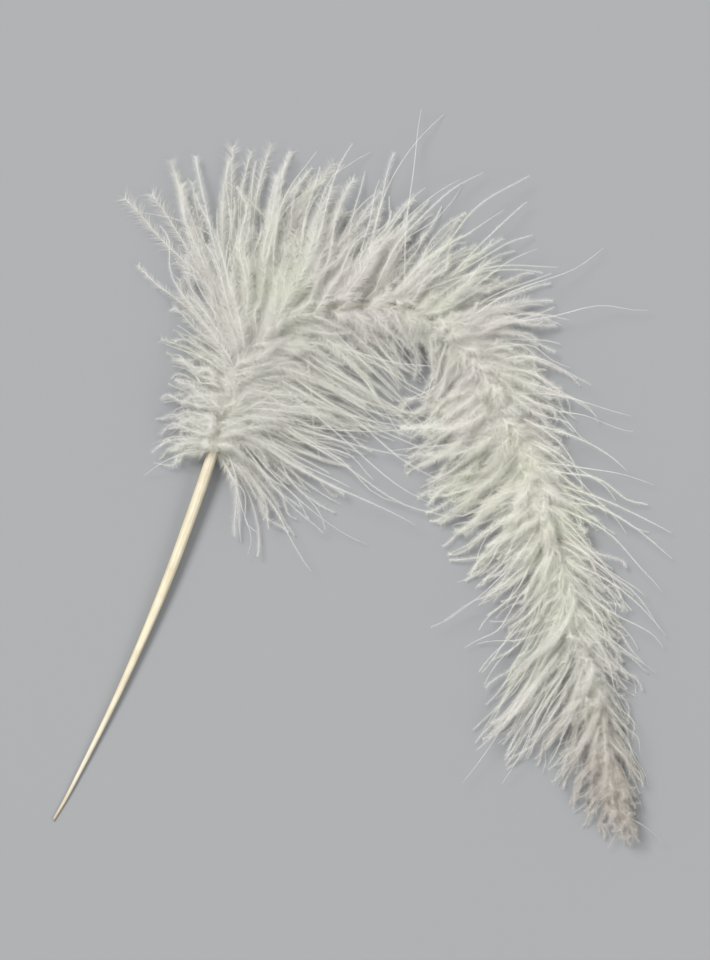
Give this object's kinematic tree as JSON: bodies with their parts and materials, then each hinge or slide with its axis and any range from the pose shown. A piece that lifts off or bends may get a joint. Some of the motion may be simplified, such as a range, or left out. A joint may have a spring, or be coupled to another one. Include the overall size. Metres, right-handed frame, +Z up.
{
  "type": "turkey marabou feather",
  "caption": "Downy white turkey marabou plume lying flat, with a bare pale quill and a soft vane that arches over and droops to a thin tip.",
  "frame": {"origin": "on the table, under the middle of the plume's bounding box", "axes": "+Z up from the table, +Y from the quill's point towards the top of the arch, +X towards the drooping side of the vane"},
  "size_m": [0.1084, 0.1245, 0.0062],
  "materials": {
    "quill": "smooth, slightly glossy keratin",
    "down": "soft matte down fibres"
  },
  "bodies": {
    "root": {"shaft": "quill", "outer_vane": "down", "inner_vane": "down"}
  },
  "joints": []
}
